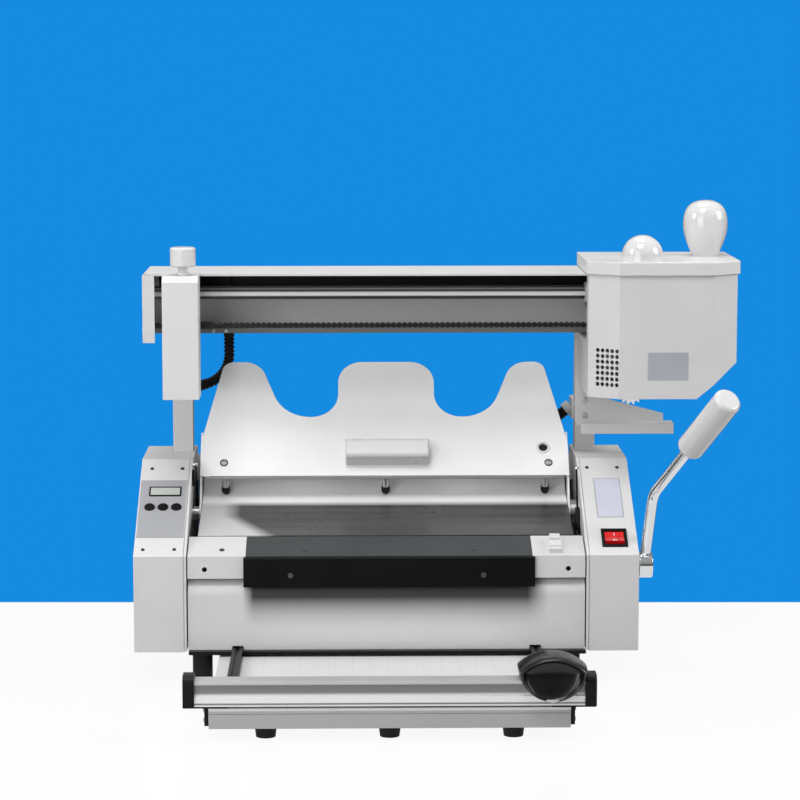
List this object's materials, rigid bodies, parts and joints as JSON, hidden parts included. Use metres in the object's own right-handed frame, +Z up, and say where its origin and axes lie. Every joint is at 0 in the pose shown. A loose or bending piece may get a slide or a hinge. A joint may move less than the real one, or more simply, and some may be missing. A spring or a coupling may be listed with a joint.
{
  "type": "hot melt binding machine",
  "caption": "Desktop hot melt book binder: hooded beam with a sliding glue pot, wave-edged cover table, lever clamp and a paper trimmer in front.",
  "frame": {"origin": "on the ground, under the middle of the whole machine's outline", "axes": "+Z up, +X the operator's right, -Y the front"},
  "size_m": [0.702, 0.542, 0.547],
  "materials": {
    "light_grey_paint": "fine textured",
    "white_plastic": "glossy",
    "bright_steel": "ground",
    "chrome": "polished",
    "black_steel": "satin black",
    "black_plastic": "satin",
    "black_rubber": "matt",
    "aluminium": "anodised",
    "red_plastic": "glossy",
    "grey_overlay": "matt film",
    "display": "glossy",
    "circuit_board": "satin"
  },
  "bodies": {
    "frame": {"side_plates": "light_grey_paint", "left_side_cover": "light_grey_paint", "right_side_cover": "light_grey_paint", "front_panel": "light_grey_paint", "rear_panel": "light_grey_paint", "floor_pan": "light_grey_paint", "rubber_feet": "black_rubber", "frame_rods": "bright_steel", "back_sheet": "light_grey_paint", "rear_jaw": "bright_steel", "table_pivots": "black_steel", "posts": "light_grey_paint", "beam": "light_grey_paint", "beam_ends": "light_grey_paint", "guide_rod": "chrome", "cable_duct": "black_plastic", "drive_chain": "black_steel", "column_head": "light_grey_paint", "drip_tray": "light_grey_paint", "frame_screws": "bright_steel", "ribbed_conduits": "black_plastic", "conduit_boxes": "light_grey_paint", "control_overlay": "grey_overlay", "display_window": "display", "control_board": "circuit_board", "switch_bezel": "black_plastic", "power_inlet": "black_plastic", "trimmer_table": "light_grey_paint", "trimmer_rail": "aluminium", "trimmer_end_blocks": "black_plastic", "trimmer_guides": "black_plastic"},
    "glue_pot": {"pot_shell": "light_grey_paint", "pot_cover": "light_grey_paint", "carriage_handle": "white_plastic", "carriage_block": "aluminium", "rod_bushes": "white_plastic", "glue_tank": "aluminium", "cartridge_heaters": "bright_steel"},
    "filler_cap": {"filler_cap": "white_plastic"},
    "chain_sprocket": {"chain_sprocket": "bright_steel"},
    "idler_gear": {"idler_gear": "bright_steel"},
    "glue_roller": {"glue_roller": "chrome"},
    "cover_table": {"cover_table": "light_grey_paint", "table_handle": "white_plastic", "table_arms": "light_grey_paint", "table_pins": "bright_steel", "pin_tips": "black_rubber"},
    "front_jaw": {"jaw_carriage": "light_grey_paint", "jaw_plate": "bright_steel", "jaw_bar": "black_steel", "limit_switch": "white_plastic"},
    "clamp_lever": {"clamp_lever": "chrome", "lever_grip": "white_plastic"},
    "adjusting_knob": {"adjusting_knob": "white_plastic"},
    "rocker_switch": {"rocker_switch": "red_plastic"},
    "button_set": {"button_set": "black_plastic"},
    "button_plus": {"button_plus": "black_plastic"},
    "button_minus": {"button_minus": "black_plastic"},
    "trimmer_shuttle": {"trimmer_shuttle": "black_plastic"},
    "cutter_wheel": {"cutter_wheel": "bright_steel"}
  },
  "joints": [
    {"name": "pot_travel", "type": "slide", "parent": "frame", "child": "glue_pot", "axis": [1, 0, 0], "range_m": [-0.44, 0]},
    {"name": "cap_lift", "type": "slide", "parent": "glue_pot", "child": "filler_cap", "axis": [0, 0, 1], "range_m": [0, 0.04]},
    {"name": "sprocket_spin", "type": "hinge", "parent": "glue_pot", "child": "chain_sprocket", "pos_m": [0.2288, 0.104, 0.38783], "axis": [0, 1, 0], "continuous": true},
    {"name": "idler_spin", "type": "hinge", "parent": "glue_pot", "child": "idler_gear", "pos_m": [0.2288, 0.1125, 0.35683], "axis": [0, 1, 0], "continuous": true},
    {"name": "roller_spin", "type": "hinge", "parent": "glue_pot", "child": "glue_roller", "pos_m": [0.2288, 0.1125, 0.32583], "axis": [0, 1, 0], "continuous": true},
    {"name": "table_tilt", "type": "hinge", "parent": "frame", "child": "cover_table", "pos_m": [-0.0612, 0.134, 0.176], "axis": [1, 0, 0], "range_deg": [0, 65]},
    {"name": "jaw_slide", "type": "slide", "parent": "frame", "child": "front_jaw", "axis": [0, -1, 0], "range_m": [0, 0.04]},
    {"name": "lever_turn", "type": "hinge", "parent": "frame", "child": "clamp_lever", "pos_m": [0.2286, 0.016, 0.134], "axis": [1, 0, 0], "range_deg": [0, 70]},
    {"name": "knob_turn", "type": "hinge", "parent": "frame", "child": "adjusting_knob", "pos_m": [-0.2958, 0.0775, 0.465], "axis": [0, 0, 1], "continuous": true},
    {"name": "rocker_tilt", "type": "hinge", "parent": "frame", "child": "rocker_switch", "pos_m": [0.2023, 0.02154, 0.16177], "axis": [1, 0, 0], "range_deg": [0, 18]},
    {"name": "button_set_press", "type": "slide", "parent": "frame", "child": "button_set", "axis": [0, 0.4958, -0.8684], "range_m": [0, 0.0015], "stiffness_N_per_m": 300, "springref_m": -0.0005},
    {"name": "button_plus_press", "type": "slide", "parent": "frame", "child": "button_plus", "axis": [0, 0.4958, -0.8684], "range_m": [0, 0.0015], "stiffness_N_per_m": 300, "springref_m": -0.0005},
    {"name": "button_minus_press", "type": "slide", "parent": "frame", "child": "button_minus", "axis": [0, 0.4958, -0.8684], "range_m": [0, 0.0015], "stiffness_N_per_m": 300, "springref_m": -0.0005},
    {"name": "shuttle_travel", "type": "slide", "parent": "frame", "child": "trimmer_shuttle", "axis": [1, 0, 0], "range_m": [-0.34, 0]},
    {"name": "wheel_spin", "type": "hinge", "parent": "trimmer_shuttle", "child": "cutter_wheel", "pos_m": [0.1113, -0.2275, 0.0479], "axis": [0, 1, 0], "continuous": true}
  ],
  "couplings": [
    {"joint": "sprocket_spin", "follows": "pot_travel", "rad_per_m": -61.842},
    {"joint": "idler_spin", "follows": "pot_travel", "rad_per_m": 65.965},
    {"joint": "roller_spin", "follows": "pot_travel", "rad_per_m": -61.842},
    {"joint": "lever_turn", "follows": "jaw_slide", "rad_per_m": 30.543},
    {"joint": "wheel_spin", "follows": "shuttle_travel", "rad_per_m": 74.074}
  ]
}
